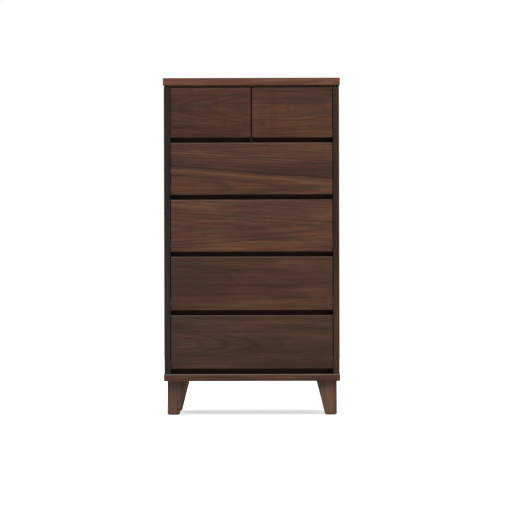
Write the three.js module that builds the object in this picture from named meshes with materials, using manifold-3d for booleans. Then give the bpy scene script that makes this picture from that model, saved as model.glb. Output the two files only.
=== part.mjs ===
// Tall chest of drawers: a walnut-veneered cabinet on four tapered legs, holding two small drawers
// side by side above four full-width ones. Each drawer is pulled by the finger gap below its front.
// Millimetres, +Z up, drawers open towards -Y, origin on the floor below the middle of the chest.
import * as THREE from 'three';
import { mergeVertices } from 'three/addons/utils/BufferGeometryUtils.js';
import Module from 'manifold-3d';

const wasm = await Module();
wasm.setup();

// ---------------------------------------------------------------- driving dimensions

const SEAM = 0.25; // glue line or paper-thin gap between pieces that touch

// Top board, and the thin black board that lifts it off the cabinet
const TOP_WIDTH = 700;
const TOP_DEPTH = 440;
const TOP_THICKNESS = 29.5;
const TOP_CHAMFER = 2.5;
const TOP_SIDE_OVERHANG = 3.5;
const TOP_FRONT_OVERHANG = 8;
const SPACER_THICKNESS = 6.5;
const SPACER_FRONT_SETBACK = 6;
const SPACER_SIDE_SETBACK = 1;

// Cabinet panels
const SIDE_PANEL_THICKNESS = 24;
const SIDE_PANEL_PROUD = 4; // of the drawer fronts
const BACK_PANEL_THICKNESS = 5;
const BACK_PANEL_RECESS = 6;
const REAR_RAIL_THICKNESS = 12.5;
const REAR_RAIL_HEIGHT = 60;
const BASE_THICKNESS = 27.5;
const BASE_SIDE_PROUD = 2;
const BASE_FRONT_PROUD = 2;
const BASE_ARRIS_RADIUS = 4;

// Legs and the glides under them
const LEG_HEIGHT = 135;
const LEG_SIDE_INSET = 13;
const LEG_FRONT_INSET = 45;
const LEG_BACK_INSET = 15;
const LEG_TOP_WIDTH = 81;
const LEG_FOOT_WIDTH = 47;
const LEG_TOP_DEPTH = 66;
const LEG_FOOT_DEPTH = 42;
const GLIDE_THICKNESS = 3;
const GLIDE_MARGIN = 4;

// Drawer fronts
const FRONT_THICKNESS = 20;
const DEEP_FRONT_HEIGHT = 211;
const MIDDLE_FRONT_HEIGHT = 205;
const SMALL_FRONT_HEIGHT = 197.5;
const FRONT_SIDE_GAP = 2.5;
const CENTRE_GAP = 5;
const FINGER_GAP = 20.5;
const BOTTOM_GAP = 22;
const GAP_UNDER_SPACER = 1.5;
const FRONT_ARRIS = 2;
const FINGER_BEVEL = 8;

// Rails behind the finger gaps, the centre divider and the dust shelf
const RAIL_SETBACK = 45;
const RAIL_THICKNESS = 18;
const RAIL_OVERLAP_BELOW = 5;
const RAIL_OVERLAP_ABOVE = 8;
const DIVIDER_THICKNESS = 12;
const DIVIDER_SETBACK = 2;
const DUST_SHELF_THICKNESS = 12;

// Drawer boxes
const BOX_DEPTH_MARGIN = 20; // between the back of a box and the back panel
const BOX_WALL = 12;
const BOX_LIFT = 14;
const BOX_TOP_DROP = 25;
const DRAWER_BOTTOM_THICKNESS = 5;
const GROOVE_DEPTH = 6;
const GROOVE_LIFT = 8;

// Roller slides of the full-width drawers
const SLIDE_SPACE = 12.5;
const SLIDE_STEEL = 1.5;
const TRACK_WIDTH = 9.5;
const TRACK_HEIGHT = 30;
const TRACK_LIFT = 2;
const TRACK_FRONT_CLEARANCE = 1.5;
const RUNNER_HEIGHT = 22;
const RUNNER_FLANGE = 7.5;
const RUNNER_FOOT = 11;
const RUNNER_CLEARANCE = 3;

// Wooden guides and stops of the small drawers
const GUIDE_THICKNESS = 8;
const GUIDE_HEIGHT = 40;
const SMALL_BOX_CLEARANCE = 2;
const SMALL_BOX_LIFT = 0.5;
const SMALL_TRAVEL = 250;
const STOP_WIDTH = 60;
const STOP_DEPTH = 16;
const STOP_HEIGHT = 20;
const STOP_ENGAGEMENT = 10;
const STOP_CLEARANCE = 1;

// ---------------------------------------------------------------- levels and planes

const bodyHalf = TOP_WIDTH / 2 - TOP_SIDE_OVERHANG;
const innerHalf = bodyHalf - SIDE_PANEL_THICKNESS;
const topFront = -TOP_DEPTH / 2;
const backPlane = TOP_DEPTH / 2;
const frontPlane = topFront + TOP_FRONT_OVERHANG;
const panelFront = frontPlane - SIDE_PANEL_PROUD;
const baseFront = panelFront - BASE_FRONT_PROUD;
const backPanelBack = backPlane - BACK_PANEL_RECESS;
const backPanelFront = backPanelBack - BACK_PANEL_THICKNESS;
const railFront = frontPlane + RAIL_SETBACK;
const railBack = railFront + RAIL_THICKNESS;
const boxFront = frontPlane + FRONT_THICKNESS + SEAM;
const boxBack = backPanelFront - BOX_DEPTH_MARGIN;
const baseTop = LEG_HEIGHT + BASE_THICKNESS;

// Left and right pieces, with the sign of their side of the chest.
const HANDS = [
  ['left', -1],
  ['right', 1],
];

// The full-width drawers from the bottom up, each with the level of its front's lower edge.
const wideDrawers = [
  { name: 'bottom_drawer', height: DEEP_FRONT_HEIGHT },
  { name: 'fourth_drawer', height: DEEP_FRONT_HEIGHT },
  { name: 'third_drawer', height: MIDDLE_FRONT_HEIGHT },
  { name: 'second_drawer', height: MIDDLE_FRONT_HEIGHT },
];
let level = baseTop + BOTTOM_GAP;
for (const drawer of wideDrawers) {
  drawer.level = level;
  level += drawer.height + FINGER_GAP;
}
const smallLevel = level;
const cabinetTop = smallLevel + SMALL_FRONT_HEIGHT + GAP_UNDER_SPACER;
const spacerTop = cabinetTop + SPACER_THICKNESS;

// ---------------------------------------------------------------- finishes

const FINISHES = {
  walnut: { color: 0x553b2f, roughness: 0.5, metalness: 0 },
  walnutTop: { color: 0x694a41, roughness: 0.45, metalness: 0 },
  walnutLeg: { color: 0x6f5245, roughness: 0.55, metalness: 0 },
  darkLiner: { color: 0x18110e, roughness: 0.8, metalness: 0 },
  backBoard: { color: 0x3a2a22, roughness: 0.75, metalness: 0 },
  drawerWood: { color: 0xc9ae86, roughness: 0.6, metalness: 0 },
  drawerBoard: { color: 0xd8c7a4, roughness: 0.65, metalness: 0 },
  slideSteel: { color: 0x8d8f90, roughness: 0.4, metalness: 0.8 },
  felt: { color: 0x2c2724, roughness: 0.95, metalness: 0 },
};

// ---------------------------------------------------------------- geometry helpers

// Adds a named piece with a material of its own to a group.
function add(group, name, geometry, finish, place) {
  const mesh = new THREE.Mesh(geometry, new THREE.MeshStandardMaterial(FINISHES[finish]));
  mesh.name = name;
  mesh.position.set(...place);
  group.add(mesh);
}

// A plain rectangular board between two planes along each axis, given in either order.
function addBoard(group, name, finish, ...planes) {
  const size = planes.map(([a, b]) => Math.abs(b - a));
  const middle = planes.map(([a, b]) => (a + b) / 2);
  add(group, name, new THREE.BoxGeometry(...size), finish, middle);
}

function outline(points) {
  return new THREE.Shape(points.map(([u, v]) => new THREE.Vector2(u, v)));
}

// A (y, z) outline run along +X from x = 0.
function runAlongX(shape, length) {
  const turn = new THREE.Matrix4().makeBasis(
    new THREE.Vector3(0, 1, 0),
    new THREE.Vector3(0, 0, 1),
    new THREE.Vector3(1, 0, 0),
  );
  const options = { depth: length, bevelEnabled: false, curveSegments: 4 };
  return new THREE.ExtrudeGeometry(shape, options).applyMatrix4(turn);
}

// An (x, z) outline run along -Y from y = 0.
function runAlongMinusY(shape, length) {
  const turn = new THREE.Matrix4().makeBasis(
    new THREE.Vector3(1, 0, 0),
    new THREE.Vector3(0, 0, 1),
    new THREE.Vector3(0, -1, 0),
  );
  const options = { depth: length, bevelEnabled: false };
  return new THREE.ExtrudeGeometry(shape, options).applyMatrix4(turn);
}

// A closed geometry as a manifold solid, and a manifold solid as a geometry again.
function toSolid(geometry) {
  const bare = geometry.clone();
  bare.deleteAttribute('normal');
  bare.deleteAttribute('uv');
  const merged = mergeVertices(bare);
  return new wasm.Manifold(
    new wasm.Mesh({
      numProp: 3,
      vertProperties: merged.attributes.position.array,
      triVerts: new Uint32Array(merged.index.array),
    }),
  );
}

function toGeometry(solid) {
  const mesh = solid.getMesh();
  const geometry = new THREE.BufferGeometry();
  geometry.setAttribute('position', new THREE.BufferAttribute(mesh.vertProperties, 3));
  geometry.setIndex(new THREE.BufferAttribute(mesh.triVerts, 1));
  geometry.computeVertexNormals();
  return geometry;
}

const common = (a, b) => toGeometry(toSolid(a).intersect(toSolid(b)));
const joined = (a, b) => toGeometry(toSolid(a).add(toSolid(b)));
const cut = (a, b) => toGeometry(toSolid(a).subtract(toSolid(b)));

// ---------------------------------------------------------------- cabinet

const chest = new THREE.Group();
const cabinet = new THREE.Group();
chest.add(cabinet);

// Top board: its lower arris is chamfered along the front and both ends, square at the wall side.
function topBoardGeometry() {
  const half = TOP_WIDTH / 2;
  const c = TOP_CHAMFER;
  const frontToBack = outline([
    [topFront + c, 0],
    [backPlane, 0],
    [backPlane, TOP_THICKNESS],
    [topFront, TOP_THICKNESS],
    [topFront, c],
  ]);
  const sideToSide = outline([
    [-half + c, 0],
    [half - c, 0],
    [half, c],
    [half, TOP_THICKNESS],
    [-half, TOP_THICKNESS],
    [-half, c],
  ]);
  return common(
    runAlongX(frontToBack, TOP_WIDTH).translate(-half, 0, 0),
    runAlongMinusY(sideToSide, TOP_DEPTH).translate(0, backPlane, 0),
  );
}

add(cabinet, 'top_board', topBoardGeometry(), 'walnutTop', [0, 0, spacerTop + SEAM]);

const spacerHalf = bodyHalf - SPACER_SIDE_SETBACK;
addBoard(
  cabinet,
  'top_spacer',
  'darkLiner',
  [-spacerHalf, spacerHalf],
  [frontPlane + SPACER_FRONT_SETBACK, backPlane - SPACER_SIDE_SETBACK],
  [cabinetTop + SEAM, spacerTop],
);

// Side panels stand on the base board and carry the top. The drawer fronts lie between them.
const panelLevels = [baseTop + SEAM, cabinetTop];
const panelDepth = [panelFront, backPlane];
addBoard(cabinet, 'left_side_panel', 'walnut', [-bodyHalf, -innerHalf], panelDepth, panelLevels);
addBoard(cabinet, 'right_side_panel', 'walnut', [innerHalf, bodyHalf], panelDepth, panelLevels);

// Width between the side panels that a fitted cross piece takes.
const crossHalf = innerHalf - SEAM;
const crossWidth = [-crossHalf, crossHalf];

addBoard(cabinet, 'back_panel', 'backBoard', crossWidth, [backPanelFront, backPanelBack], panelLevels);

const rearRailFront = backPanelFront - SEAM - REAR_RAIL_THICKNESS;
addBoard(
  cabinet,
  'rear_top_rail',
  'drawerWood',
  crossWidth,
  [rearRailFront, backPanelFront - SEAM],
  [cabinetTop - REAR_RAIL_HEIGHT, cabinetTop],
);

// Base board: a little proud of the cabinet, with a rounded upper front arris.
function baseBoardGeometry() {
  const r = BASE_ARRIS_RADIUS;
  const shape = new THREE.Shape();
  shape.moveTo(baseFront, 0);
  shape.lineTo(backPlane, 0);
  shape.lineTo(backPlane, BASE_THICKNESS);
  shape.lineTo(baseFront + r, BASE_THICKNESS);
  shape.absarc(baseFront + r, BASE_THICKNESS - r, r, Math.PI / 2, Math.PI, false);
  shape.closePath();
  const half = bodyHalf + BASE_SIDE_PROUD;
  return runAlongX(shape, 2 * half).translate(-half, 0, 0);
}

add(cabinet, 'base_board', baseBoardGeometry(), 'walnut', [0, 0, LEG_HEIGHT]);

// ---------------------------------------------------------------- legs

// A leg in the corner where both outer faces are upright: the two inner faces lean in to the foot.
// (0, 0) is the outer corner at the foot, and the leg grows towards +X and +Y.
function legGeometry(height) {
  const widthTaper = outline([
    [0, 0],
    [LEG_FOOT_WIDTH, 0],
    [LEG_TOP_WIDTH, height],
    [0, height],
  ]);
  const depthTaper = outline([
    [0, 0],
    [LEG_FOOT_DEPTH, 0],
    [LEG_TOP_DEPTH, height],
    [0, height],
  ]);
  return common(
    runAlongMinusY(widthTaper, LEG_TOP_DEPTH).translate(0, LEG_TOP_DEPTH, 0),
    runAlongX(depthTaper, LEG_TOP_WIDTH),
  );
}

const legOuterX = bodyHalf + BASE_SIDE_PROUD - LEG_SIDE_INSET;
const legOuterFrontY = baseFront + LEG_FRONT_INSET;
const legOuterBackY = backPlane - LEG_BACK_INSET;
const legFoot = GLIDE_THICKNESS + SEAM;
const legBlank = toSolid(legGeometry(LEG_HEIGHT - SEAM - legFoot));

// Each corner's leg is the blank mirrored so that its upright faces look outwards.
function addLeg(name, sideX, sideY, outerY) {
  const outerX = sideX * legOuterX;
  const leg = toGeometry(legBlank.scale([-sideX, -sideY, 1]));
  add(cabinet, `${name}_leg`, leg, 'walnutLeg', [outerX, outerY, legFoot]);
  const edges = (outer, side, foot) => [
    outer - side * GLIDE_MARGIN,
    outer - side * (foot - GLIDE_MARGIN),
  ];
  addBoard(
    cabinet,
    `${name}_glide`,
    'felt',
    edges(outerX, sideX, LEG_FOOT_WIDTH),
    edges(outerY, sideY, LEG_FOOT_DEPTH),
    [0, GLIDE_THICKNESS],
  );
}

for (const [hand, sideX] of HANDS) {
  addLeg(`front_${hand}`, sideX, -1, legOuterFrontY);
  addLeg(`back_${hand}`, sideX, 1, legOuterBackY);
}

// ---------------------------------------------------------------- rails, shelf and divider

// One dark rail closes each finger gap from behind, just under the boxes of the row above.
function addRail(name, frontLevel) {
  addBoard(
    cabinet,
    name,
    'darkLiner',
    crossWidth,
    [railFront, railBack],
    [frontLevel - FINGER_GAP - RAIL_OVERLAP_BELOW, frontLevel + RAIL_OVERLAP_ABOVE],
  );
}

for (const drawer of wideDrawers.slice(1)) {
  addRail(`rail_below_${drawer.name}`, drawer.level);
}
addRail('rail_below_top_drawers', smallLevel);

// The lowest rail stands on the base board.
addBoard(
  cabinet,
  'rail_below_bottom_drawer',
  'darkLiner',
  crossWidth,
  [railFront, railBack],
  [baseTop + SEAM, wideDrawers[0].level + RAIL_OVERLAP_ABOVE],
);

// Dust shelf that the small drawers run on, level with the top of its rail.
const shelfTop = smallLevel + RAIL_OVERLAP_ABOVE;
addBoard(
  cabinet,
  'dust_shelf',
  'drawerBoard',
  crossWidth,
  [railBack + SEAM, backPanelFront - SEAM],
  [shelfTop - DUST_SHELF_THICKNESS, shelfTop],
);

// Centre divider: it stands on the shelf, and its nose drops in front of the rail.
function dividerGeometry() {
  const nose = boxFront + DIVIDER_SETBACK;
  const noseBottom = smallLevel - FINGER_GAP - RAIL_OVERLAP_BELOW;
  const profile = outline([
    [nose, noseBottom],
    [railFront - SEAM, noseBottom],
    [railFront - SEAM, shelfTop + SEAM],
    [rearRailFront - SEAM, shelfTop + SEAM],
    [rearRailFront - SEAM, cabinetTop],
    [nose, cabinetTop],
  ]);
  return runAlongX(profile, DIVIDER_THICKNESS);
}

add(cabinet, 'centre_divider', dividerGeometry(), 'walnut', [-DIVIDER_THICKNESS / 2, 0, 0]);

// ---------------------------------------------------------------- drawers

// A front's section: eased upper arris, and a bevel behind the lower edge for the fingers.
function frontGeometry(width, height) {
  const back = FRONT_THICKNESS;
  const profile = outline([
    [0, 0],
    [back - FINGER_BEVEL, 0],
    [back, FINGER_BEVEL],
    [back, height],
    [FRONT_ARRIS, height],
    [0, height - FRONT_ARRIS],
  ]);
  return runAlongX(profile, width).translate(-width / 2, 0, 0);
}

// Four walls glued into one ring, grooved inside for the bottom panel.
function boxGeometry(width, depth, height) {
  const half = width / 2;
  const ring = outline([
    [-half, 0],
    [half, 0],
    [half, depth],
    [-half, depth],
  ]);
  ring.holes.push(
    new THREE.Path([
      new THREE.Vector2(-half + BOX_WALL, BOX_WALL),
      new THREE.Vector2(-half + BOX_WALL, depth - BOX_WALL),
      new THREE.Vector2(half - BOX_WALL, depth - BOX_WALL),
      new THREE.Vector2(half - BOX_WALL, BOX_WALL),
    ]),
  );
  const walls = new THREE.ExtrudeGeometry(ring, { depth: height, bevelEnabled: false });
  const reach = 2 * (BOX_WALL - GROOVE_DEPTH);
  const grooveHeight = DRAWER_BOTTOM_THICKNESS + 2 * SEAM;
  const groove = new THREE.BoxGeometry(width - reach, depth - reach, grooveHeight);
  groove.translate(0, depth / 2, GROOVE_LIFT + grooveHeight / 2);
  return cut(walls, groove);
}

// The panel that lies in the groove of a box.
function addDrawerBottom(group, name, width, depth, boxLevel) {
  const reach = BOX_WALL - GROOVE_DEPTH + SEAM;
  const low = boxLevel + GROOVE_LIFT + SEAM;
  addBoard(
    group,
    name,
    'drawerBoard',
    [-width / 2 + reach, width / 2 - reach],
    [boxFront + reach, boxFront + depth - reach],
    [low, low + DRAWER_BOTTOM_THICKNESS],
  );
}

// A drawer is a group at the lower edge of its front: the front, the box behind it and its bottom.
function buildDrawer(name, frontLevel, front, box) {
  const drawer = new THREE.Group();
  drawer.position.z = frontLevel;
  chest.add(drawer);
  const panel = frontGeometry(front.width, front.height);
  add(drawer, `${name}_front`, panel, 'walnut', [front.centre, frontPlane, 0]);
  const behind = new THREE.Group();
  behind.position.x = box.centre;
  drawer.add(behind);
  add(behind, `${name}_box`, box.geometry, 'drawerWood', [0, boxFront, box.lift]);
  addDrawerBottom(behind, `${name}_bottom`, box.width, boxBack - boxFront, box.lift);
  return drawer;
}

// ---------------------------------------------------------------- full-width drawers

const wideBoxWidth = 2 * (innerHalf - SLIDE_SPACE);
const slideDepth = [boxFront + TRACK_FRONT_CLEARANCE, boxBack];

// Channel on the side panel that the runner's flange rolls in, open towards the drawer.
function trackOutline(side) {
  const wall = innerHalf - SEAM;
  const lip = wall - TRACK_WIDTH;
  const web = wall - SLIDE_STEEL;
  const points = [
    [wall, 0],
    [wall, TRACK_HEIGHT],
    [lip, TRACK_HEIGHT],
    [lip, TRACK_HEIGHT - SLIDE_STEEL],
    [web, TRACK_HEIGHT - SLIDE_STEEL],
    [web, SLIDE_STEEL],
    [lip, SLIDE_STEEL],
    [lip, 0],
  ];
  return outline(points.map(([x, z]) => [side * x, z]));
}

// Angle under the edge of the box, with a flange that reaches out into the track.
function runnerOutline(side) {
  const wall = wideBoxWidth / 2 + SEAM;
  const outer = wall + SLIDE_STEEL;
  const foot = wall - RUNNER_FOOT;
  const flange = outer + RUNNER_FLANGE;
  const points = [
    [foot, -SEAM - SLIDE_STEEL],
    [outer, -SEAM - SLIDE_STEEL],
    [outer, RUNNER_HEIGHT - SLIDE_STEEL],
    [flange, RUNNER_HEIGHT - SLIDE_STEEL],
    [flange, RUNNER_HEIGHT],
    [wall, RUNNER_HEIGHT],
    [wall, -SEAM],
    [foot, -SEAM],
  ];
  return outline(points.map(([x, z]) => [side * x, z]));
}

for (const { name, height, level: frontLevel } of wideDrawers) {
  const boxHeight = height - BOX_LIFT - BOX_TOP_DROP;
  const geometry = boxGeometry(wideBoxWidth, boxBack - boxFront, boxHeight);
  const drawer = buildDrawer(
    name,
    frontLevel,
    { centre: 0, width: 2 * (innerHalf - FRONT_SIDE_GAP), height },
    { centre: 0, width: wideBoxWidth, lift: BOX_LIFT, geometry },
  );

  const trackLevel = frontLevel + BOX_LIFT + TRACK_LIFT;
  const runnerLength = slideDepth[1] - slideDepth[0] - RUNNER_CLEARANCE;
  for (const [hand, side] of HANDS) {
    const track = runAlongMinusY(trackOutline(side), slideDepth[1] - slideDepth[0]);
    add(cabinet, `${name}_${hand}_track`, track, 'slideSteel', [0, slideDepth[1], trackLevel]);
    const runner = runAlongMinusY(runnerOutline(side), runnerLength);
    add(drawer, `${name}_${hand}_runner`, runner, 'slideSteel', [0, slideDepth[1], BOX_LIFT]);
  }
}

// ---------------------------------------------------------------- small drawers

const smallFrontWidth = innerHalf - FRONT_SIDE_GAP - CENTRE_GAP / 2;
const smallBoxInner = DIVIDER_THICKNESS / 2 + SMALL_BOX_CLEARANCE;
const smallBoxOuter = innerHalf - SEAM - GUIDE_THICKNESS - SMALL_BOX_CLEARANCE;
const smallBoxWidth = smallBoxOuter - smallBoxInner;
const smallBoxLift = shelfTop + SMALL_BOX_LIFT - smallLevel;
const smallBoxHeight = SMALL_FRONT_HEIGHT - smallBoxLift - BOX_TOP_DROP;
const stopBottom = cabinetTop - STOP_HEIGHT;

// The back wall of a small box stands up to meet the stop block when the drawer is pulled out. The
// board that heightens it laps the upper half of the box.
function smallBoxGeometry() {
  const depth = boxBack - boxFront;
  const tall = stopBottom + STOP_ENGAGEMENT - smallLevel - smallBoxLift;
  const lap = smallBoxHeight / 2;
  const raised = new THREE.BoxGeometry(smallBoxWidth, BOX_WALL, tall - lap);
  raised.translate(0, depth - BOX_WALL / 2, (tall + lap) / 2);
  return joined(boxGeometry(smallBoxWidth, depth, smallBoxHeight), raised);
}

for (const [hand, side] of HANDS) {
  const frontCentre = (side * (smallFrontWidth + CENTRE_GAP)) / 2;
  const boxCentre = (side * (smallBoxInner + smallBoxOuter)) / 2;
  buildDrawer(
    `top_${hand}_drawer`,
    smallLevel,
    { centre: frontCentre, width: smallFrontWidth, height: SMALL_FRONT_HEIGHT },
    { centre: boxCentre, width: smallBoxWidth, lift: smallBoxLift, geometry: smallBoxGeometry() },
  );

  // Hardwood guide beside the box, and the stop block above it.
  const guideX = side * (innerHalf - SEAM - GUIDE_THICKNESS / 2);
  addBoard(
    cabinet,
    `${hand}_drawer_guide`,
    'drawerWood',
    [guideX - GUIDE_THICKNESS / 2, guideX + GUIDE_THICKNESS / 2],
    [railBack + SEAM, boxBack],
    [shelfTop + SEAM, shelfTop + GUIDE_HEIGHT],
  );
  const stopBack = boxBack - BOX_WALL - SMALL_TRAVEL - STOP_CLEARANCE;
  addBoard(
    cabinet,
    `${hand}_drawer_stop`,
    'drawerWood',
    [boxCentre - STOP_WIDTH / 2, boxCentre + STOP_WIDTH / 2],
    [stopBack - STOP_DEPTH, stopBack],
    [stopBottom, cabinetTop],
  );
}

export default chest;
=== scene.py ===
# A tall chest of drawers in dark walnut veneer, put together piece by piece around its frame.
# Metres, +Z up. The drawers pull out towards -Y, and +X is to the right seen from the front.
import math

import bmesh
import bpy
from mathutils import Matrix, Vector


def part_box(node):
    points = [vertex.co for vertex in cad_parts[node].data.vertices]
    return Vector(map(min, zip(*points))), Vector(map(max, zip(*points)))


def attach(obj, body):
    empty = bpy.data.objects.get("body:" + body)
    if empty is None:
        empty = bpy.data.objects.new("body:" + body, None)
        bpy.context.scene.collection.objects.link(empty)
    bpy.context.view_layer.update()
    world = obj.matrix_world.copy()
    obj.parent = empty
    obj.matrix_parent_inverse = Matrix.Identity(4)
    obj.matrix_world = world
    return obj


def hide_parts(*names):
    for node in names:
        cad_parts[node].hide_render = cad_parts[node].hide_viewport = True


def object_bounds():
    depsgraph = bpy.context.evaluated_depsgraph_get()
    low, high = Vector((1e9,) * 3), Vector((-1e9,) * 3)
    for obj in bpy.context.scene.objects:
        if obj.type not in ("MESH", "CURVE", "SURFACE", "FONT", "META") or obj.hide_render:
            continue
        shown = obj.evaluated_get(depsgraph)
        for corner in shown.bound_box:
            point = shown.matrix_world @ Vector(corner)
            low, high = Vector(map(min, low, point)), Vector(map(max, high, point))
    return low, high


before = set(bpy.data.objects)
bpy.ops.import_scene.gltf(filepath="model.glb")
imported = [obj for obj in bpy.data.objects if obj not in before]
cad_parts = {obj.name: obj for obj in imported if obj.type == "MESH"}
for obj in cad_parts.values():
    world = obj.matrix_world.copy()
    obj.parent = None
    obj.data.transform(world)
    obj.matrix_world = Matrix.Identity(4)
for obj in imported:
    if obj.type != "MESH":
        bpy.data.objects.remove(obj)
cad_low, cad_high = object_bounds()

# ------------------------------------------------------------------ studio
# A pale matt floor under white air, a broad soft key light high above the front, a weak light on
# the right and another behind. The camera stands far back on a long lens.


def wire(tree, kind, feeds=None, **settings):
    """Adds a node; feeds gives its inputs, each a plain value, a socket, or a node's first output."""
    made = tree.nodes.new(kind)
    for setting, value in settings.items():
        setattr(made, setting, value)
    for socket, value in (feeds or {}).items():
        if isinstance(value, bpy.types.Node):
            value = value.outputs[0]
        if isinstance(value, bpy.types.NodeSocket):
            tree.links.new(value, made.inputs[socket])
        else:
            made.inputs[socket].default_value = value
    return made


def new_material(name):
    """An empty material, its node tree and its shader, which is already wired to the output."""
    material = bpy.data.materials.new(name)
    material.use_nodes = True
    tree = material.node_tree
    tree.nodes.clear()
    shader = wire(tree, "ShaderNodeBsdfPrincipled")
    wire(tree, "ShaderNodeOutputMaterial", {"Surface": shader})
    return material, tree, shader


def maths(tree, operation, *values):
    """A Math node's result."""
    return wire(tree, "ShaderNodeMath", dict(enumerate(values)), operation=operation).outputs[0]


def ramp(tree, amount, *stops):
    """A grey ramp through (place, brightness) stops."""
    node = wire(tree, "ShaderNodeValToRGB", {"Fac": amount})
    points = node.color_ramp.elements
    while len(points) < len(stops):
        points.new(0.5)
    for point, (place, brightness) in zip(points, stops):
        point.position = place
        point.color = (brightness, brightness, brightness, 1)
    return node.outputs["Color"]


def mixed(tree, amount, first, second, blend_type="MIX"):
    """The colour that this amount of the second colour over the first gives."""
    colours = {
        socket: (*value, 1) if isinstance(value, tuple) else value
        for socket, value in ((6, first), (7, second))
    }
    node = wire(tree, "ShaderNodeMix", {0: amount, **colours}, data_type="RGBA", blend_type=blend_type)
    return node.outputs[2]


def stretched(tree, place, stretch):
    """Places scaled along each axis."""
    return wire(tree, "ShaderNodeVectorMath", {0: place, 1: stretch}, operation="MULTIPLY")


def noise(tree, place, seed, scale, detail=2.0, roughness=0.5):
    """A seeded noise's grey value; scale is one number, or one for each axis."""
    if isinstance(scale, tuple):
        place = stretched(tree, place, scale)
        scale = 1.0
    node = wire(
        tree,
        "ShaderNodeTexNoise",
        {"Vector": place, "W": seed, "Scale": scale, "Detail": detail, "Roughness": roughness},
        noise_dimensions="4D",
    )
    return node.outputs[0]


def object_place(tree):
    """Where a point lies in the chest's own frame."""
    return wire(tree, "ShaderNodeTexCoord").outputs["Object"]


def as_object(name, shape):
    """A bmesh as an object whose faces all point out."""
    bmesh.ops.recalc_face_normals(shape, faces=shape.faces)
    mesh = bpy.data.meshes.new(name)
    shape.to_mesh(mesh)
    shape.free()
    made = bpy.data.objects.new(name, mesh)
    bpy.context.scene.collection.objects.link(made)
    return made


FLOOR_REACH = 7.0
FLOOR_GLOW = 0.55  # white that the camera sees on the floor but that doesn't light the chest
floor_shape = bmesh.new()
floor_shape.faces.new(
    floor_shape.verts.new((x * FLOOR_REACH, y * FLOOR_REACH, 0))
    for x, y in ((-1, -1), (1, -1), (1, 1), (-1, 1))
)
floor = as_object("studio_floor", floor_shape)
floor_paint, tree, shader = new_material("pale floor")
pale = ramp(tree, noise(tree, object_place(tree), 1.0, 0.8), (0.3, 0.49), (0.7, 0.52))
tree.links.new(pale, shader.inputs["Base Color"])
seen = wire(tree, "ShaderNodeLightPath").outputs["Is Camera Ray"]
shader.inputs["Emission Color"].default_value = (1, 1, 1, 1)
tree.links.new(maths(tree, "MULTIPLY", seen, FLOOR_GLOW), shader.inputs["Emission Strength"])
shader.inputs["Roughness"].default_value = 0.75
shader.inputs["Specular IOR Level"].default_value = 0.2
floor.data.materials.append(floor_paint)

# The air looks white to the camera and lights the chest more softly than that.
AIR_LIGHT = 0.3
air = bpy.data.worlds.new("studio air")
bpy.context.scene.world = air
air.use_nodes = True
tree = air.node_tree
tree.nodes.clear()
seen = wire(tree, "ShaderNodeLightPath").outputs["Is Camera Ray"]
strength = wire(tree, "ShaderNodeMix", {0: seen, 2: AIR_LIGHT, 3: 1.0}, data_type="FLOAT")
glow = wire(tree, "ShaderNodeBackground", {"Color": (1, 1, 1, 1), "Strength": strength})
wire(tree, "ShaderNodeOutputWorld", {"Surface": glow})


def hang_light(name, kind, energy, turn, place=(0, 0, 0)):
    """A light of one kind, which the camera doesn't see."""
    lamp = bpy.data.lights.new(name, kind)
    lamp.energy = energy
    holder = bpy.data.objects.new(name, lamp)
    holder.location = place
    holder.rotation_euler = turn
    holder.visible_camera = False
    bpy.context.scene.collection.objects.link(holder)
    return lamp


# The key is as broad as an overcast sky and a little to the right.
KEY_ELEVATION = math.radians(64)
KEY_AZIMUTH = math.radians(12)
KEY_STRENGTH = 4.9
key = hang_light("key_light", "SUN", KEY_STRENGTH, (math.pi / 2 - KEY_ELEVATION, 0, KEY_AZIMUTH))
key.angle = math.radians(90)

middle = (cad_low + cad_high) / 2
for name, place, side, watts in (
    ("right_light", Vector((4.2, -4.2, 1.6)), 2.4, 36),
    ("back_light", Vector((-3.2, 4.6, 2.6)), 3.0, 90),
):
    lamp = hang_light(name, "AREA", watts, (middle - place).to_track_quat("-Z", "Y").to_euler(), place)
    lamp.size = side

CAMERA_DISTANCE = 14.0  # from the drawer fronts
FRAME_WIDTH = 2.0243  # what the camera sees across, at the drawer fronts
CAMERA_ROLL = math.radians(-0.15)
front_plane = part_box("second_drawer_front")[0].y
camera_data = bpy.data.cameras.new("camera")
camera_data.sensor_width = 36
camera_data.lens = camera_data.sensor_width * CAMERA_DISTANCE / FRAME_WIDTH
camera_data.clip_end = 60
camera = bpy.data.objects.new("camera", camera_data)
aim = Vector((0.0168, front_plane, 0.6296))
camera.location = Vector((0.13, front_plane - CAMERA_DISTANCE, 0.66))
facing = (aim - camera.location).to_track_quat("-Z", "Y").to_matrix()
camera.rotation_euler = (facing @ Matrix.Rotation(CAMERA_ROLL, 3, "Z")).to_euler()
bpy.context.scene.collection.objects.link(camera)
bpy.context.scene.camera = camera
bpy.context.scene.view_settings.view_transform = "Standard"

# ------------------------------------------------------------------ base board
# One veneered board under the whole cabinet, a touch wider and deeper than it, with a rounded
# upper front arris. Everything stands on it, and the legs hang from it.


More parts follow.
